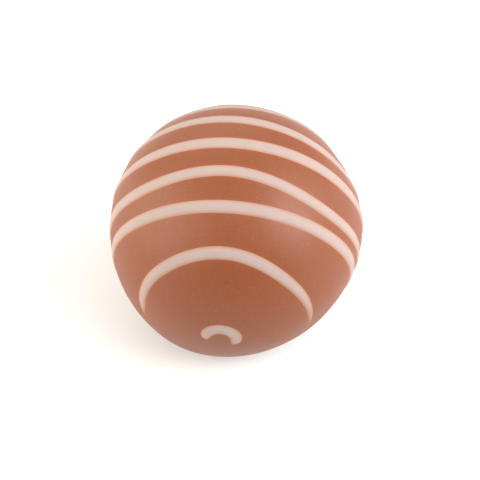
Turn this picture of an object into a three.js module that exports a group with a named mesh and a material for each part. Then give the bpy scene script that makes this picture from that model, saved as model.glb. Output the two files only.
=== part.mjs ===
// Chocolate truffle: a hand-rolled ball of milk chocolate on a small flat foot,
// with lines of pink-tinted white chocolate piped over it from side to side.
//
// Frame: millimetres, +Z up. The origin is the centre of the flat foot, in the
// plane that the truffle stands on. +X points to the right and -Y to the front.
// The lines run along X and follow one another from front to back.

import * as THREE from 'three';

// ---------------------------------------------------------------- dimensions

const BALL_RADIUS = 15;
const HEIGHT = 28;            // foot to crown, so the foot takes 2 mm off the ball
const FOOT_ROUNDING = 3;      // radius of the edge between foot and ball

const LINE_HEIGHT = 0.18;     // height of a line's dome, as a share of its width
const LINE_GAP = 0.08;        // underside of a line above the coating

const BALL_FACETS = { around: 48, footRings: 3, edgeRings: 4, ballRings: 20 };
const LINE_FACETS = { across: 8, along: 32 };

// Soft lumps and hollows left by rolling the ball in the palms. Each has a
// direction from the ball's centre (azimuth from +X towards +Y, and elevation,
// in degrees), a spread in degrees and a height in mm, below zero for a hollow.
const LUMPS = [
  { azimuth: 35, elevation: 25, spread: 15, height: -0.25 },
  { azimuth: 80, elevation: 35, spread: 12, height: -0.15 },
  { azimuth: -20, elevation: -15, spread: 15, height: -0.35 },
  { azimuth: -50, elevation: -30, spread: 20, height: -0.45 },
  { azimuth: -115, elevation: -30, spread: 15, height: 0.3 },
  { azimuth: -170, elevation: 0, spread: 15, height: -0.15 },
  { azimuth: 90, elevation: -10, spread: 20, height: -0.2 },
  { azimuth: 150, elevation: -25, spread: 15, height: 0.2 },
];

// Above the first elevation the lumps have their full height, and below the
// second one they are gone, so that the foot stays flat and round.
const LUMP_FADE = { full: -36, none: -54 };

// The lines, from front to back. places says where a line runs, as its y at seven
// angles around the Y axis, every 45 degrees from 45 below +X, over the crown, to 45
// below -X, with a smooth curve between them. It starts and stops at the two angles
// in ends. width is its full width in mm, and taper the shares of it that are lost
// at the two ends, below zero where the line gets thicker. tips says how each end
// closes: its length in mm, and a power of 0.5 for a round end, 1 for a point.
const PLACES_FROM = -45;
const PLACES_STEP = 45;
const ROUND_TIP = { length: 1.4, power: 0.5 };
const SMALL_TIP = { length: 0.8, power: 0.5 };
const FINE_TIP = { length: 3, power: 0.8 };
const USUAL = { ends: [-40, 195], tips: [ROUND_TIP, ROUND_TIP] };
const LINES = [
  { places: [-14.9, -14.9, -14.9, -14.9, -14.9, -14.9, -14.9],
    ends: [-45, 200], width: 1.6, taper: [0.5, 0.5], tips: [SMALL_TIP, SMALL_TIP] },
  { places: [-11, -11.3, -11.2, -10.6, -11.2, -11.7, -11.7],
    ends: [-15, 190], width: 1.4, taper: [0.8, 0.4], tips: [FINE_TIP, FINE_TIP] },
  { ...USUAL, places: [-3.5, -4.5, -5.9, -6.5, -6.4, -5.4, -5], width: 1.4, taper: [0.1, 0.2] },
  { ...USUAL, places: [-2, -2.4, -3.5, -2.6, -3.2, -2.3, -1.5], width: 1.3, taper: [0.4, -0.3] },
  { ...USUAL, places: [1.4, 1.6, 1.3, 1.2, 1, 1.5, 1.6], width: 1.6, taper: [0, 0.3] },
  { ...USUAL, places: [5, 4.6, 4.7, 5.4, 5.2, 5, 5], width: 1.6, taper: [0.2, 0] },
  { ...USUAL, places: [9.6, 9.5, 9.3, 9.2, 8.6, 8.6, 8.6], width: 2, taper: [0.3, 0.2] },
  { ...USUAL, places: [13.4, 13.4, 13.4, 13.4, 13.4, 13.4, 13.4], width: 1.5, taper: [0.3, 0.3] },
];

// ----------------------------------------------------------------- materials

const milkChocolate = new THREE.MeshStandardMaterial({
  color: 0xb0694c,
  roughness: 0.5,
  metalness: 0,
});

const pinkWhiteChocolate = new THREE.MeshStandardMaterial({
  color: 0xe2cabe,
  roughness: 0.55,
  metalness: 0,
});

// ------------------------------------------------------------- worked-out sizes

const { clamp, degToRad, lerp, radToDeg, smoothstep } = THREE.MathUtils;

const ballCentre = new THREE.Vector3(0, 0, HEIGHT - BALL_RADIUS);

// The edge's circle touches the floor and the inside of the ball.
const edgeCentreRadius = Math.sqrt(
  (BALL_RADIUS - FOOT_ROUNDING) ** 2 - (ballCentre.z - FOOT_ROUNDING) ** 2,
);
const edgeEndAngle = Math.atan2(FOOT_ROUNDING - ballCentre.z, edgeCentreRadius);

// --------------------------------------------------------------- rolled surface

// Bell curve with its top, 1, at 0.
function bell(x) {
  return Math.exp(-0.5 * x * x);
}

function directionAt(azimuth, elevation) {
  const across = Math.cos(degToRad(elevation));
  return new THREE.Vector3(
    across * Math.cos(degToRad(azimuth)),
    across * Math.sin(degToRad(azimuth)),
    Math.sin(degToRad(elevation)),
  );
}

const lumps = LUMPS.map(({ azimuth, elevation, spread, height }) => ({
  direction: directionAt(azimuth, elevation),
  spread: degToRad(spread),
  height,
}));

// How far the rolled surface lies outside the true ball in one direction.
function lumpHeight(direction) {
  const elevation = radToDeg(Math.asin(direction.z));
  const fade = smoothstep(elevation, LUMP_FADE.none, LUMP_FADE.full);
  const sum = lumps.reduce((total, lump) => {
    return total + lump.height * bell(direction.angleTo(lump.direction) / lump.spread);
  }, 0);
  return fade * sum;
}

// ------------------------------------------------------------------------ ball

// Half of the outline, from the middle of the foot up to the crown.
function ballProfile() {
  const { footRings, edgeRings, ballRings } = BALL_FACETS;
  const points = [];
  for (let i = 0; i < footRings; i++) {
    points.push(new THREE.Vector2((edgeCentreRadius * i) / footRings, 0));
  }
  for (let i = 0; i < edgeRings; i++) {
    const angle = lerp(-Math.PI / 2, edgeEndAngle, i / edgeRings);
    points.push(new THREE.Vector2(
      edgeCentreRadius + FOOT_ROUNDING * Math.cos(angle),
      FOOT_ROUNDING + FOOT_ROUNDING * Math.sin(angle),
    ));
  }
  for (let i = 0; i < ballRings; i++) {
    const angle = lerp(edgeEndAngle, Math.PI / 2, i / ballRings);
    points.push(new THREE.Vector2(
      BALL_RADIUS * Math.cos(angle),
      ballCentre.z + BALL_RADIUS * Math.sin(angle),
    ));
  }
  points.push(new THREE.Vector2(0, HEIGHT));
  return points;
}

function makeBall() {
  const geometry = new THREE.LatheGeometry(ballProfile(), BALL_FACETS.around);
  geometry.rotateX(Math.PI / 2);
  const position = geometry.attributes.position;
  const point = new THREE.Vector3();
  for (let i = 0; i < position.count; i++) {
    point.fromBufferAttribute(position, i).sub(ballCentre);
    const direction = point.clone().normalize();
    point.addScaledVector(direction, lumpHeight(direction)).add(ballCentre);
    position.setXYZ(i, point.x, point.y, point.z);
  }
  const mesh = new THREE.Mesh(geometry, milkChocolate);
  mesh.name = 'chocolate_ball';
  return mesh;
}

// ----------------------------------------------------------------- piped lines

// Direction from the ball's centre to a line at phi, in radians.
function lineDirection(line, phi) {
  const y = placeAt(line, radToDeg(phi));
  const across = Math.sqrt(BALL_RADIUS ** 2 - y ** 2);
  return new THREE.Vector3(across * Math.cos(phi), y, across * Math.sin(phi)).normalize();
}

// A line's y at an angle in degrees, on a smooth curve through its places.
function placeAt(line, angle) {
  const curve = new THREE.SplineCurve(line.places.map((y, i) => new THREE.Vector2(i, y)));
  const along = (angle - PLACES_FROM) / (PLACES_STEP * (line.places.length - 1));
  return curve.getPoint(clamp(along, 0, 1)).y;
}

// Half the width of a line at a share of its length, counted from its end at +X.
function halfWidth(line, share, length) {
  const towardsEnd = 2 * share - 1;
  const taper = line.taper[towardsEnd < 0 ? 0 : 1] * towardsEnd ** 2;
  const fromEnds = [share * length, (1 - share) * length];
  return line.tips.reduce((half, tip, end) => {
    const nearEnd = 1 - Math.min(fromEnds[end] / tip.length, 1);
    return half * (1 - nearEnd ** 2) ** tip.power;
  }, 0.5 * line.width * (1 - taper));
}

// A sphere's rings become the sections of the line, from its end at +X (one
// pole) to its end at -X (the other). Each section is flat below, on the ball,
// and domed above.
function makeLine(line, index) {
  const { across, along } = LINE_FACETS;
  const geometry = new THREE.SphereGeometry(1, across, along);
  const position = geometry.attributes.position;
  const [from, to] = line.ends.map(degToRad);
  const step = (to - from) / along;
  const length = lineLength(line, from, to);
  const point = new THREE.Vector3();
  for (let i = 0; i < position.count; i++) {
    point.fromBufferAttribute(position, i);
    const share = Math.acos(clamp(point.y, -1, 1)) / Math.PI;
    const ring = Math.hypot(point.x, point.z) || 1;
    const phi = lerp(from, to, share);
    const out = lineDirection(line, phi);
    const forward = lineDirection(line, phi + step).sub(lineDirection(line, phi - step));
    const side = out.clone().cross(forward).normalize();
    const reach = halfWidth(line, share, length);
    const dome = LINE_HEIGHT * 2 * reach * Math.max(point.z / ring, 0);
    const sideways = out.clone().multiplyScalar(BALL_RADIUS)
      .addScaledVector(side, (reach * point.x) / ring)
      .normalize();
    const radius = BALL_RADIUS + lumpHeight(sideways) + LINE_GAP + dome;
    point.copy(sideways).multiplyScalar(radius).add(ballCentre);
    position.setXYZ(i, point.x, point.y, point.z);
  }
  const mesh = new THREE.Mesh(geometry, pinkWhiteChocolate);
  mesh.name = `piped_line_${index + 1}`;
  return mesh;
}

function lineLength(line, from, to) {
  let length = 0;
  for (let i = 0; i < LINE_FACETS.along; i++) {
    const start = lineDirection(line, lerp(from, to, i / LINE_FACETS.along));
    const end = lineDirection(line, lerp(from, to, (i + 1) / LINE_FACETS.along));
    length += BALL_RADIUS * start.distanceTo(end);
  }
  return length;
}

// -------------------------------------------------------------------- truffle

const truffle = new THREE.Group();
truffle.add(makeBall());
LINES.forEach((line, index) => truffle.add(makeLine(line, index)));

export default truffle;
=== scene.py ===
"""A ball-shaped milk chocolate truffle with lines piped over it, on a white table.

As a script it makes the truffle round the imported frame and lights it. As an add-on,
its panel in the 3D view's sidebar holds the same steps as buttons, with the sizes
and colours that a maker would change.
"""

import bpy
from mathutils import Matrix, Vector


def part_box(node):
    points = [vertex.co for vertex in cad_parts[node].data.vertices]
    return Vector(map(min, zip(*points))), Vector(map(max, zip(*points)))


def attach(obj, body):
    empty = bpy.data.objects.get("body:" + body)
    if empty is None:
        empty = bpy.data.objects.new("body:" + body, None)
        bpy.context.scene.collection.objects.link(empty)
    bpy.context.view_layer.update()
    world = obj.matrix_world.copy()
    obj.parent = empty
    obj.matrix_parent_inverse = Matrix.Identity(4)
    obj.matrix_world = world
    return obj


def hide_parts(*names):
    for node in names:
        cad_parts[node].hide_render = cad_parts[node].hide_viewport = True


bl_info = {
    "name": "Piped Chocolate Truffle",
    "version": (1, 0, 0),
    "blender": (4, 5, 0),
    "location": "3D View > Sidebar > Truffle",
    "description": "Rolls a chocolate ball, pipes lines over it and sets up the studio",
    "category": "Add Mesh",
}

import math

import bpy
import numpy as np
from bpy.props import FloatProperty, FloatVectorProperty, PointerProperty
from mathutils import Vector, noise

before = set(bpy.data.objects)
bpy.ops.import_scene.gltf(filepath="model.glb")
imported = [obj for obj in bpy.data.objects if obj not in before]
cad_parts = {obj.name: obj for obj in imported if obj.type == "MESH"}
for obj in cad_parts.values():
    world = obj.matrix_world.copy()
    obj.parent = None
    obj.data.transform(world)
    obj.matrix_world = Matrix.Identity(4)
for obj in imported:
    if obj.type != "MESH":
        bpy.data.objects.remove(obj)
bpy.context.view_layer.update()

# ------------------------------------------------------------------------ sizes
# Everything on the truffle is worked out in millimetres from the ball's centre.

MM = 0.001
SNUG = 0.9992               # scale that keeps the truffle just inside the frame's box
FOOT_CUT = 2 / 15           # share of the ball's radius that the flat foot takes off
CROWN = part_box("chocolate_ball")[1].z / MM
BALL_RADIUS = CROWN / (2 - FOOT_CUT)
BALL_CENTRE = np.array([0.0, 0.0, CROWN - BALL_RADIUS])
FOOT_ROUNDING = BALL_RADIUS / 5

# Soft lumps and hollows left by rolling: (azimuth, elevation, spread) in degrees
# and a height in mm, below zero for a hollow.
LUMPS = [
    (35, 25, 15, -0.25),
    (80, 35, 12, -0.15),
    (-20, -15, 15, -0.35),
    (-50, -30, 20, -0.45),
    (-115, -30, 15, 0.3),
    (-170, 0, 15, -0.15),
    (90, -10, 20, -0.2),
    (150, -25, 15, 0.2),
]
LUMPS_FULL = -36           # elevation above which the lumps have their full height
LUMPS_GONE = -54           # elevation below which the foot is left round

# The piped lines, from front to back. places says where a line runs, as its y in mm
# at seven angles around the Y axis, every 45 degrees from 45 below +X, over the crown,
# to 45 below -X, with a smooth curve between them. It starts and stops at the two
# angles in ends. width is in mm, and taper the shares of it lost at the two ends,
# below zero where the line gets thicker. tips says how its ends close: (length in
# mm, 0.5 for a round end or 1 for a point).
PLACES_FROM = -45
PLACES_STEP = 45
ROUND_TIP = (1.4, 0.5)
SMALL_TIP = (0.8, 0.5)
FINE_TIP = (3, 0.8)
USUAL = dict(ends=(-40, 195), tips=(ROUND_TIP, ROUND_TIP))
LINES = [
    dict(places=[-14.9, -14.9, -14.9, -14.9, -14.9, -14.9, -14.9],
         ends=(-45, 200), width=1.6, taper=(0.5, 0.5), tips=(SMALL_TIP, SMALL_TIP)),
    dict(places=[-11, -11.3, -11.2, -10.6, -11.2, -11.7, -11.7],
         ends=(-15, 190), width=1.4, taper=(0.8, 0.4), tips=(FINE_TIP, FINE_TIP)),
    dict(USUAL, places=[-3.5, -4.5, -5.9, -6.5, -6.4, -5.4, -5], width=1.4, taper=(0.1, 0.2)),
    dict(USUAL, places=[-2, -2.4, -3.5, -2.6, -3.2, -2.3, -1.5], width=1.3, taper=(0.4, -0.3)),
    dict(USUAL, places=[1.4, 1.6, 1.3, 1.2, 1, 1.5, 1.6], width=1.6, taper=(0, 0.3)),
    dict(USUAL, places=[5, 4.6, 4.7, 5.4, 5.2, 5, 5], width=1.6, taper=(0.2, 0)),
    dict(USUAL, places=[9.6, 9.5, 9.3, 9.2, 8.6, 8.6, 8.6], width=2, taper=(0.3, 0.2)),
    dict(USUAL, places=[13.4, 13.4, 13.4, 13.4, 13.4, 13.4, 13.4], width=1.5, taper=(0.3, 0.3)),
]
EDGE_FAINTNESS = (0.65, 0.75)  # of the back and front edges: 0 covers fully, 1 fades out
EDGE_SOFTNESS = 0.5        # width in mm over which a line's edge grows to full cover
EDGE_SPREAD = 0.14         # how far in mm a faint edge runs on past the line's width
LINE_SINK = 0.02           # how far a line's edges lie under the coating's surface
LINE_ROOT = 0.16           # how far its hidden underside reaches into the coating
DOME_FULLNESS = 2.0        # 1 is a round dome, more is a flatter one with soft edges

THIN_COVER = 0.2            # how much of the coating a line covers where it is thinnest
COVER_WIDTHS = (0.1, 0.6)   # half widths in mm at which a line covers least and fully
FLAT_SHARE = 0.35           # half width, as a share of the width, below which it is lower
PHI_STEP = 0.001            # step in radians for finding which way a line runs

# Fine unevenness of a hand-rolled ball: (size of a swell, its height), in mm.
PALM_SWELLS = [(7.0, 0.03), (2.6, 0.014)]

# How finely the pieces are divided.
AROUND = 384
FOOT_RINGS = 10
EDGE_RINGS = 14
BALL_RINGS = 170
LINE_STATIONS = 220
LINE_SECTION = 36

# Softboxes as (name, (azimuth, elevation) in degrees, (width, height) in metres,
# tint, brightness), all at the same distance from the truffle in metres.
SOFTBOX_DISTANCE = 0.30
WHITE = (1.0, 1.0, 1.0)
WARM = (1.0, 0.95, 0.8)
COOL = (0.7, 0.8, 1.0)
SOFTBOXES = [
    ("right_softbox", (0, 35), (0.35, 0.30), WHITE, 3.0),
    ("right_window", (-10, 40), (0.15, 0.20), WHITE, 6.5),
    ("left_softbox", (-170, 15), (0.35, 0.25), WARM, 4.0),
    ("left_high_softbox", (-160, 45), (0.30, 0.20), WARM, 1.5),
    ("back_softbox", (110, 30), (0.30, 0.20), WARM, 1.3),
    ("front_left_fill", (-130, 30), (0.20, 0.25), COOL, 1.2),
]


# Camera: lens in mm, distance in ball radii, and its shift right and down in mm.
LENS = 100.0
CAMERA_DISTANCE = 10.547
SHIFT_RIGHT = 0.475
SHIFT_DOWN = 1.127

TABLE_HALF = 1.5            # half the table's width in metres
DIM_SIDE = (0.0, -1.0, 0.05)  # towards the side of the room that is dim
DIM_RANGE = (0.45, 0.95)    # how squarely towards it the dimming starts and is complete

# Shades of the coating, each as a factor on its colour's channels.
BROAD_SHADE = (0.98, 0.94, 0.90)
MOTTLE_SHADE = (1.03, 1.06, 1.09)
GRAIN_SHADE = (0.90, 0.87, 0.84)
RIM_SHADE = (1.22, 1.2, 1.1)
SPECKS_PER_MM = 2.0
SPECK_RADII = (0.10, 0.28)  # share of a speck's cell: full inside the first, none past it
SPECK_SHARE = 0.2
RIM_SHARE = 0.5
RIM_REACH = 0.06            # in square mm: how far the lighter rim of a line spreads
BUMP_DEPTH = 0.02           # in mm

# --------------------------------------------------------------------- geometry

def bell(x):
    return np.exp(-0.5 * np.square(x))


def smoothstep(x, low, high):
    share = np.clip((x - low) / (high - low), 0, 1)
    return share * share * (3 - 2 * share)


def directions_at(azimuth, elevation):
    azimuth, elevation = np.radians(azimuth), np.radians(elevation)
    return np.stack([
        np.cos(elevation) * np.cos(azimuth),
        np.cos(elevation) * np.sin(azimuth),
        np.sin(elevation) * np.ones_like(azimuth),
    ], axis=-1)


def normalised(vectors):
    return vectors / np.linalg.norm(vectors, axis=-1, keepdims=True)


def relief(directions):
    """How far in mm the rolled surface lies outside the true ball, per direction."""
    height = np.zeros(len(directions))
    for azimuth, elevation, spread, lump in LUMPS:
        cosine = np.clip(directions @ directions_at(azimuth, elevation), -1, 1)
        height += lump * bell(np.degrees(np.arccos(cosine)) / spread)
    for swell, amplitude in PALM_SWELLS:
        spots = directions * (BALL_RADIUS / swell)
        height += amplitude * np.array([noise.noise(Vector(spot)) for spot in spots])
    elevation = np.degrees(np.arcsin(np.clip(directions[:, 2], -1, 1)))
    return height * smoothstep(elevation, LUMPS_GONE, LUMPS_FULL)


def line_places(line, phi):
    """A line's y in mm at phi in radians, on a smooth curve through its places."""
    places = np.array(line["places"], float)
    last = len(places) - 1
    along = np.clip((np.degrees(phi) - PLACES_FROM) / PLACES_STEP, 0, last)
    first = np.floor(along).astype(int)
    share = along - first
    before, here, after, beyond = (
        places[np.clip(first + step, 0, last)] for step in (-1, 0, 1, 2))
    leaving, arriving = (after - before) / 2, (beyond - here) / 2
    return (here + leaving * share
            + (3 * (after - here) - 2 * leaving - arriving) * share ** 2
            + (2 * (here - after) + leaving + arriving) * share ** 3)


def line_directions(line, phi):
    """Directions from the ball's centre to the middle of a line, at phi in radians."""
    y = line_places(line, phi)
    across = np.sqrt(BALL_RADIUS ** 2 - y ** 2)
    return normalised(np.stack([across * np.cos(phi), y, across * np.sin(phi)], axis=-1))


def line_length(line):
    start, stop = np.radians(line["ends"])
    points = BALL_RADIUS * line_directions(line, np.linspace(start, stop, LINE_STATIONS))
    return np.linalg.norm(np.diff(points, axis=0), axis=1).sum()


def line_half_width(line, share):
    """Half the width in mm at a share of the line's length from its end at +X."""
    towards_end = 2 * share - 1
    taper = np.where(towards_end < 0, *line["taper"]) * towards_end ** 2
    half = 0.5 * line["width"] * (1 - taper)
    for (length, power), travelled in zip(line["tips"], (share, 1 - share)):
        near_end = 1 - np.clip(travelled * line_length(line) / length, 0, 1)
        half = half * (1 - near_end ** 2) ** power
    return half


def gap_to_line(line, directions):
    """Distance in mm from each direction's point on the ball to the line's edge."""
    start, stop = np.radians(line["ends"])
    middle = (start + stop) / 2
    phi = np.arctan2(directions[:, 2], directions[:, 0])
    phi = middle + (phi - middle + math.pi) % (2 * math.pi) - math.pi
    phi = np.clip(phi, start, stop)
    apart = BALL_RADIUS * np.linalg.norm(directions - line_directions(line, phi), axis=1)
    return apart - line_half_width(line, (phi - start) / (stop - start))


def ball_profile():
    """Rings of the ball as (radius, height over the floor), from foot to crown."""
    inner = BALL_RADIUS - FOOT_ROUNDING
    rise = BALL_CENTRE[2] - FOOT_ROUNDING
    edge_radius = math.sqrt(inner ** 2 - rise ** 2)
    edge_end = math.atan2(-rise, edge_radius)
    foot = [(edge_radius * i / FOOT_RINGS, 0.0) for i in range(1, FOOT_RINGS)]
    edge = [(edge_radius + FOOT_ROUNDING * math.cos(a),
             FOOT_ROUNDING + FOOT_ROUNDING * math.sin(a))
            for a in np.linspace(-math.pi / 2, edge_end, EDGE_RINGS, endpoint=False)]
    ball = [(BALL_RADIUS * math.cos(a), BALL_CENTRE[2] + BALL_RADIUS * math.sin(a))
            for a in np.linspace(edge_end, math.pi / 2, BALL_RINGS, endpoint=False)]
    return foot + edge + ball


def ring_faces(rings, around):
    """Quads between closed rings of vertices, and fans to a first and a last vertex.

    Vertex 0 is the first pole, then come the rings, then the last pole."""
    faces = []
    for i in range(around):
        j = (i + 1) % around
        faces.append((0, 1 + j, 1 + i))
        for ring in range(rings - 1):
            low, high = 1 + ring * around, 1 + (ring + 1) * around
            faces.append((low + i, low + j, high + j, high + i))
        last = 1 + (rings - 1) * around
        faces.append((last + i, last + j, 1 + rings * around))
    return faces


def new_piece(name, points, faces, material, attributes):
    """A smooth mesh piece from points in mm, with one value per point for each attribute."""
    mesh = bpy.data.meshes.new(name)
    mesh.from_pydata((points * MM * SNUG).tolist(), [], faces)
    mesh.shade_smooth()
    for title, values in attributes.items():
        layer = mesh.attributes.new(title, "FLOAT", "POINT")
        layer.data.foreach_set("value", np.asarray(values, np.float32))
    mesh.materials.append(material)
    mesh.validate()
    piece = bpy.data.objects.new(name, mesh)
    bpy.context.scene.collection.objects.link(piece)
    return piece


# -------------------------------------------------------------------- materials

class Strand:
    """A socket that gives a value, on which arithmetic adds Math nodes."""

    def __init__(self, socket):
        self.socket = socket

    def _maths(self, operation, first, second=0.0):
        tree = self.socket.id_data
        return Recipe(tree).node("ShaderNodeMath", {"operation": operation},
                                 {0: first, 1: second})

    def __add__(self, other):
        return self._maths("ADD", self, other)

    def __radd__(self, other):
        return self._maths("ADD", other, self)

    def __sub__(self, other):
        return self._maths("SUBTRACT", self, other)

    def __rsub__(self, other):
        return self._maths("SUBTRACT", other, self)

    def __mul__(self, other):
        return self._maths("MULTIPLY", self, other)

    def __rmul__(self, other):
        return self._maths("MULTIPLY", other, self)

    def __truediv__(self, other):
        return self._maths("DIVIDE", self, other)

    def __pow__(self, other):
        return self._maths("POWER", self, other)

    def __rpow__(self, other):
        return self._maths("POWER", other, self)


class Recipe:
    """Adds nodes to one tree."""

    def __init__(self, tree):
        self.tree = tree

    def node(self, kind, settings=None, sockets=None, gives=None):
        """A node of that type: settings first, then its sockets. Returns one output."""
        made = self.tree.nodes.new(kind)
        for name, value in (settings or {}).items():
            setattr(made, name, value)
        usable = [socket for socket in made.inputs if socket.enabled]
        for key, value in (sockets or {}).items():
            named = [socket for socket in usable if socket.name == key]
            socket = usable[key] if isinstance(key, int) else named[0]
            if isinstance(value, Strand):
                self.tree.links.new(value.socket, socket)
            else:
                socket.default_value = value
        outputs = [socket for socket in made.outputs if socket.enabled]
        named = [socket for socket in outputs if socket.name == gives]
        return Strand((named or outputs)[0]) if outputs else None

    def mix(self, share, first, second):
        """A colour between two, by a share from 0 to 1."""
        return self.node("ShaderNodeMix", {"data_type": "RGBA", "clamp_factor": True},
                         {"Factor": share, "A": first, "B": second}, "Result")

    def millimetres(self):
        """The place on the piece, in mm, the same for every piece."""
        place = self.node("ShaderNodeTexCoord", gives="Object")
        return self.node("ShaderNodeVectorMath", {"operation": "SCALE"},
                         {"Vector": place, "Scale": 1 / MM})

    def clouds(self, place, size, detail=2.0, roughness=0.5):
        """Soft noise from 0 to 1, with swells of about that size in mm."""
        return self.node("ShaderNodeTexNoise", {"noise_dimensions": "3D"},
                         {"Vector": place, "Scale": 1 / size, "Detail": detail,
                          "Roughness": roughness}, "Fac")

    def step(self, value, low, high):
        """0 below low, 1 above high, smooth between them."""
        return self.node("ShaderNodeMapRange", {"interpolation_type": "SMOOTHSTEP"},
                         {"Value": value, "From Min": low, "From Max": high})

    def attribute(self, name):
        return self.node("ShaderNodeAttribute", {"attribute_name": name}, gives="Fac")


def opaque(colour):
    return (*colour, 1.0)


def shaded(colour, factor):
    """A colour made lighter or darker by a factor for each channel."""
    return tuple(channel * f for channel, f in zip(colour, factor))


def new_material(name):
    """An empty node material and the recipe for its tree."""
    material = bpy.data.materials.new(name)
    material.use_nodes = True
    material.node_tree.nodes.clear()
    return material, Recipe(material.node_tree)


def finish_material(recipe, sockets):
    shader = recipe.node("ShaderNodeBsdfPrincipled", None, sockets, "BSDF")
    recipe.node("ShaderNodeOutputMaterial", None, {"Surface": shader})


def milk_chocolate(coating):
    """Satin milk chocolate: soft mottling, pale specks of fat and sugar, fine grain."""
    material, recipe = new_material("milk_chocolate")
    base = tuple(coating.colour)
    place = recipe.millimetres()
    broad = recipe.clouds(place, 5.0, 3.0)
    mottle = recipe.clouds(place, 0.9, 4.0, 0.6)
    grain = recipe.clouds(place, 0.22, 3.0, 0.65)
    speck_cells = {"Vector": place, "Scale": SPECKS_PER_MM}
    speck_distance = recipe.node("ShaderNodeTexVoronoi", None, speck_cells, "Distance")
    speck_pick = recipe.node("ShaderNodeTexVoronoi", None, speck_cells, "Color")
    near_speck = 1 - recipe.step(speck_distance, *SPECK_RADII)
    specks = near_speck * recipe.step(speck_pick, 0.3, 0.8)
    gap = recipe.attribute("line_gap")
    rim = math.e ** ((gap * gap) / -RIM_REACH)

    colour = recipe.mix(recipe.step(broad, 0.3, 0.7) * 0.5, opaque(base),
                        opaque(shaded(base, BROAD_SHADE)))
    colour = recipe.mix(recipe.step(mottle, 0.35, 0.7) * 0.6, colour,
                        opaque(shaded(base, MOTTLE_SHADE)))
    colour = recipe.mix(recipe.step(grain, 0.3, 0.7), opaque(shaded(base, GRAIN_SHADE)),
                        colour)
    colour = recipe.mix(specks * SPECK_SHARE, colour, opaque(coating.speck_colour))
    colour = recipe.mix(rim * RIM_SHARE, colour, opaque(shaded(base, RIM_SHADE)))
    facing = recipe.node("ShaderNodeLayerWeight", None, {"Blend": 0.5}, "Facing")
    sheen = coating.roughness + facing * facing * 0.08
    rough = sheen + (mottle - 0.5) * 0.08 + (grain - 0.5) * 0.08
    height = grain * 0.8 + mottle * 0.8 + specks * 0.25
    normal = recipe.node("ShaderNodeBump", None,
                         {"Strength": 0.35, "Distance": BUMP_DEPTH * MM, "Height": height}, "Normal")
    finish_material(recipe, {
        "Base Color": colour, "Roughness": rough, "Normal": normal,
        "IOR": 1.33, "Subsurface Weight": 0.06, "Subsurface Scale": 0.6 * MM,
        "Subsurface Radius": (1.0, 0.45, 0.25),
    })
    return material


def pink_white_chocolate(piping):
    """White chocolate with a little pink: creamy crown, pinker thin edges."""
    material, recipe = new_material("pink_white_chocolate")
    base = tuple(piping.colour)
    place = recipe.millimetres()
    streaks = recipe.clouds(place, 1.6, 3.0)
    grain = recipe.clouds(place, 0.14, 2.0)
    cover = recipe.attribute("cover")
    colour = recipe.mix(recipe.step(streaks, 0.35, 0.65) * 0.5, opaque(base),
                        opaque(shaded(base, (0.98, 0.95, 0.93))))
    colour = recipe.mix(cover, opaque(piping.edge_colour), colour)
    height = grain * 0.4 + streaks * 0.6
    normal = recipe.node("ShaderNodeBump", None,
                         {"Strength": 0.3, "Distance": BUMP_DEPTH * MM, "Height": height}, "Normal")
    finish_material(recipe, {
        "Base Color": colour, "Roughness": piping.roughness + (grain - 0.5) * 0.1,
        "Normal": normal, "IOR": 1.22, "Subsurface Weight": 0.15,
        "Subsurface Scale": 0.6 * MM, "Subsurface Radius": (1.0, 0.7, 0.55),
    })
    return material


def table_white(studio):
    """Matt white table top."""
    material, recipe = new_material("table_white")
    place = recipe.millimetres()
    cloud = recipe.clouds(place, 60.0)
    colour = recipe.mix(cloud * 0.3, opaque(studio.table_colour),
                        opaque(shaded(studio.table_colour, (0.98, 0.98, 0.98))))
    finish_material(recipe, {"Base Color": colour, "Roughness": 0.9, "IOR": 1.3})
    return material


# --------------------------------------------------------------------- settings

class TruffleCoating(bpy.types.PropertyGroup):
    """The chocolate ball's finish."""
    colour: FloatVectorProperty(
        name="Chocolate", description="Colour of the milk chocolate coating",
        subtype="COLOR", size=3, min=0, max=1, default=(0.208, 0.061, 0.024))
    speck_colour: FloatVectorProperty(
        name="Specks", description="Colour of the fine pale specks in the coating",
        subtype="COLOR", size=3, min=0, max=1, default=(0.325, 0.15, 0.081))
    roughness: FloatProperty(
        name="Roughness", description="How matt the coating is",
        subtype="FACTOR", min=0, max=1, default=0.40)


class TrufflePiping(bpy.types.PropertyGroup):
    """The piped lines' size and finish."""
    height: FloatProperty(
        name="Line height", description="How far the lines stand out of the coating",
        unit="LENGTH", precision=5, min=0.00005, max=0.0006, default=0.00012)
    colour: FloatVectorProperty(
        name="Lines", description="Colour of the pink-tinted white chocolate",
        subtype="COLOR", size=3, min=0, max=1, default=(0.352, 0.270, 0.243))
    edge_colour: FloatVectorProperty(
        name="Line edges", description="Colour of the lines' thin edges",
        subtype="COLOR", size=3, min=0, max=1, default=(0.33, 0.135, 0.062))
    roughness: FloatProperty(
        name="Roughness", description="How matt the lines are",
        subtype="FACTOR", min=0, max=1, default=0.6)


class TruffleStudio(bpy.types.PropertyGroup):
    """Table, lights and camera."""
    table_colour: FloatVectorProperty(
        name="Table", description="Colour of the table top",
        subtype="COLOR", size=3, min=0, max=1, default=(0.75, 0.75, 0.75))
    room: FloatProperty(
        name="Room light", description="Brightness of the pale room all around",
        min=0, max=4, default=0.87)
    softboxes: FloatProperty(
        name="Softboxes", description="Brightness of all the softboxes together",
        min=0, max=4, default=1.0)
    azimuth: FloatProperty(
        name="Camera azimuth", description="Angle of the camera round to the right",
        subtype="ANGLE", default=math.radians(6.4))
    elevation: FloatProperty(
        name="Camera elevation", description="Angle of the camera over the table",
        subtype="ANGLE", default=math.radians(55))


# ------------------------------------------------------------------------ steps

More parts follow.
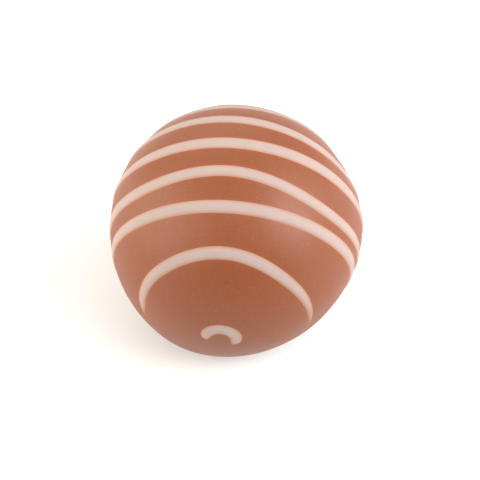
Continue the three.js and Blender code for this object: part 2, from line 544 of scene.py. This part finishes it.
class TRUFFLE_OT_roll_ball(bpy.types.Operator):
    """Roll the chocolate ball: lumps, palm marks, flat foot and satin coating"""
    bl_idname = "truffle.roll_ball"
    bl_label = "Roll Ball"

    def execute(self, context):
        profile = np.array(ball_profile())
        turns = np.linspace(0, 2 * math.pi, AROUND, endpoint=False)
        rings = np.stack([
            np.outer(profile[:, 0], np.cos(turns)),
            np.outer(profile[:, 0], np.sin(turns)),
            np.outer(profile[:, 1], np.ones(AROUND)),
        ], axis=-1).reshape(-1, 3)
        points = np.vstack([[0, 0, 0], rings, [0, 0, CROWN]]) - BALL_CENTRE
        directions = normalised(points)
        points += directions * relief(directions)[:, None]
        gaps = np.min([gap_to_line(line, directions) for line in LINES], axis=0)
        ball = new_piece(
            "coated_ball", points + BALL_CENTRE, ring_faces(len(profile), AROUND),
            milk_chocolate(context.scene.truffle_coating), {"line_gap": np.maximum(gaps, 0)})
        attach(ball, "root")
        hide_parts("chocolate_ball")
        return {"FINISHED"}


class TRUFFLE_OT_pipe_lines(bpy.types.Operator):
    """Pipe the lines of pink-tinted white chocolate over the ball"""
    bl_idname = "truffle.pipe_lines"
    bl_label = "Pipe Lines"

    def execute(self, context):
        piping = context.scene.truffle_piping
        material = pink_white_chocolate(piping)
        for number, line in enumerate(LINES, start=1):
            points, cover = self.line_points(line, piping.height / MM)
            piece = new_piece(
                f"line_of_white_chocolate_{number}", points,
                ring_faces(LINE_STATIONS, LINE_SECTION), material, {"cover": cover})
            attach(piece, "root")
            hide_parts(f"piped_line_{number}")
        return {"FINISHED"}

    def line_points(self, line, height):
        """Points of a line's skin, ring by ring, and how well each covers the coating."""
        start, stop = np.radians(line["ends"])
        share = (1 - np.cos(math.pi * np.arange(1, LINE_STATIONS + 1)
                            / (LINE_STATIONS + 1))) / 2
        phi = start + (stop - start) * share
        middle = line_directions(line, phi)
        forward = line_directions(line, phi + PHI_STEP) - line_directions(line, phi - PHI_STEP)
        to_front = normalised(np.cross(middle, forward))
        half = line_half_width(line, share)[:, None]
        swell = np.minimum(half / (FLAT_SHARE * line["width"]), 1)

        turn = np.linspace(0, 2 * math.pi, LINE_SECTION, endpoint=False)
        across = np.cos(turn)
        thin = np.where(across < 0, *EDGE_FAINTNESS)
        reach = half + swell * EDGE_SPREAD * np.array(thin)
        dome = np.abs(np.sin(turn)) ** DOME_FULLNESS
        section = np.where(np.sin(turn) > 0, height * dome, -LINE_ROOT * dome)
        out = normalised(BALL_RADIUS * middle[:, None]
                         + to_front[:, None] * (reach * across)[..., None]).reshape(-1, 3)
        lift = (swell * section).ravel() - LINE_SINK
        rings = out * (BALL_RADIUS + relief(out) + lift)[:, None]
        tips = line_directions(line, np.array([start, stop]))
        tips = tips * (BALL_RADIUS + relief(tips) - LINE_SINK)[:, None]
        points = np.vstack([tips[:1], rings, tips[1:]]) + BALL_CENTRE

        from_edge = reach * (1 - np.abs(across)) / (EDGE_SOFTNESS * (0.4 + 0.6 * swell))
        cover = 1 - thin * (1 - smoothstep(from_edge, 0, 1))
        cover = cover * (THIN_COVER + (1 - THIN_COVER) * smoothstep(half, *COVER_WIDTHS))
        return points, np.concatenate([[THIN_COVER], cover.ravel(), [THIN_COVER]])


class TRUFFLE_OT_set_studio(bpy.types.Operator):
    """Set up the white table, the soft lights, the pale room and the camera"""
    bl_idname = "truffle.set_studio"
    bl_label = "Set Up Studio"

    def execute(self, context):
        studio = context.scene.truffle_studio
        self.lay_table(studio)
        self.paint_room(context.scene, studio)
        for name, angles, size, tint, brightness in SOFTBOXES:
            self.hang_softbox(name, angles, size, tint, studio.softboxes * brightness)
        self.place_camera(context.scene, studio)
        context.scene.view_settings.view_transform = "Standard"
        return {"FINISHED"}

    def lay_table(self, studio):
        half = TABLE_HALF
        corners = [(-half, -half, 0), (half, -half, 0), (half, half, 0), (-half, half, 0)]
        mesh = bpy.data.meshes.new("table_top")
        mesh.from_pydata(corners, [], [(0, 1, 2, 3)])
        mesh.materials.append(table_white(studio))
        table = bpy.data.objects.new("table_top", mesh)
        bpy.context.scene.collection.objects.link(table)

    def paint_room(self, scene, studio):
        """A pale room that is dim low down at the front, where nothing is lit."""
        world = bpy.data.worlds.new("pale_room")
        world.use_nodes = True
        world.node_tree.nodes.clear()
        recipe = Recipe(world.node_tree)
        facing = recipe.node("ShaderNodeTexCoord", gives="Generated")
        towards_front = recipe.node("ShaderNodeVectorMath", {"operation": "DOT_PRODUCT"},
                                    {0: facing, 1: DIM_SIDE}, "Value")
        dim = recipe.step(towards_front, *DIM_RANGE)
        light = studio.room * (1 - dim)
        background = recipe.node("ShaderNodeBackground", None,
                                 {"Color": (1, 1, 1, 1), "Strength": light})
        recipe.node("ShaderNodeOutputWorld", None, {"Surface": background})
        scene.world = world

    def hang_softbox(self, name, angles, size, tint, brightness):
        """A soft lamp at (azimuth, elevation) in degrees, facing the truffle."""
        lamp = bpy.data.lights.new(name, "AREA")
        lamp.shape = "RECTANGLE"
        lamp.size, lamp.size_y = size
        lamp.color = tint
        lamp.energy = brightness * math.pi * size[0] * size[1]
        softbox = bpy.data.objects.new(name, lamp)
        towards = Vector(directions_at(*np.array(angles, float)))
        softbox.location = Vector(BALL_CENTRE * MM) + towards * SOFTBOX_DISTANCE
        softbox.rotation_euler = towards.to_track_quat("Z", "Y").to_euler()
        softbox.visible_camera = False
        bpy.context.scene.collection.objects.link(softbox)

    def place_camera(self, scene, studio):
        distance = CAMERA_DISTANCE * BALL_RADIUS * MM
        azimuth, elevation = studio.azimuth, studio.elevation
        back = Vector((math.sin(azimuth) * math.cos(elevation),
                       -math.cos(azimuth) * math.cos(elevation), math.sin(elevation)))
        right = Vector((math.cos(azimuth), math.sin(azimuth), 0))
        up = back.cross(right)
        aim = Vector(BALL_CENTRE * MM) + right * SHIFT_RIGHT * MM - up * SHIFT_DOWN * MM
        camera_data = bpy.data.cameras.new("camera")
        camera_data.lens = LENS
        camera_data.sensor_width = 36.0
        camera_data.clip_start = 0.001
        camera = bpy.data.objects.new("camera", camera_data)
        camera.location = aim + back * distance
        camera.rotation_euler = (-back).to_track_quat("-Z", "Y").to_euler()
        scene.collection.objects.link(camera)
        scene.camera = camera


# ------------------------------------------------------------------------ panel

class TRUFFLE_PT_panel(bpy.types.Panel):
    """The truffle's steps, sizes and colours"""
    bl_label = "Piped Chocolate Truffle"
    bl_space_type = "VIEW_3D"
    bl_region_type = "UI"
    bl_category = "Truffle"

    def draw(self, context):
        scene = context.scene
        for step, settings in (
                (TRUFFLE_OT_roll_ball, scene.truffle_coating),
                (TRUFFLE_OT_pipe_lines, scene.truffle_piping),
                (TRUFFLE_OT_set_studio, scene.truffle_studio)):
            box = self.layout.box()
            for name in settings.__annotations__:
                box.prop(settings, name)
            box.operator(step.bl_idname)


SETTINGS = {
    "truffle_coating": TruffleCoating,
    "truffle_piping": TrufflePiping,
    "truffle_studio": TruffleStudio,
}
CLASSES = (
    *SETTINGS.values(),
    TRUFFLE_OT_roll_ball,
    TRUFFLE_OT_pipe_lines,
    TRUFFLE_OT_set_studio,
    TRUFFLE_PT_panel,
)


def register():
    for cls in CLASSES:
        bpy.utils.register_class(cls)
    for name, group in SETTINGS.items():
        setattr(bpy.types.Scene, name, PointerProperty(type=group))


def unregister():
    for name in SETTINGS:
        delattr(bpy.types.Scene, name)
    for cls in reversed(CLASSES):
        bpy.utils.unregister_class(cls)


def main():
    register()
    bpy.ops.truffle.roll_ball()
    bpy.ops.truffle.pipe_lines()
    bpy.ops.truffle.set_studio()


if __name__ == "__main__":
    main()
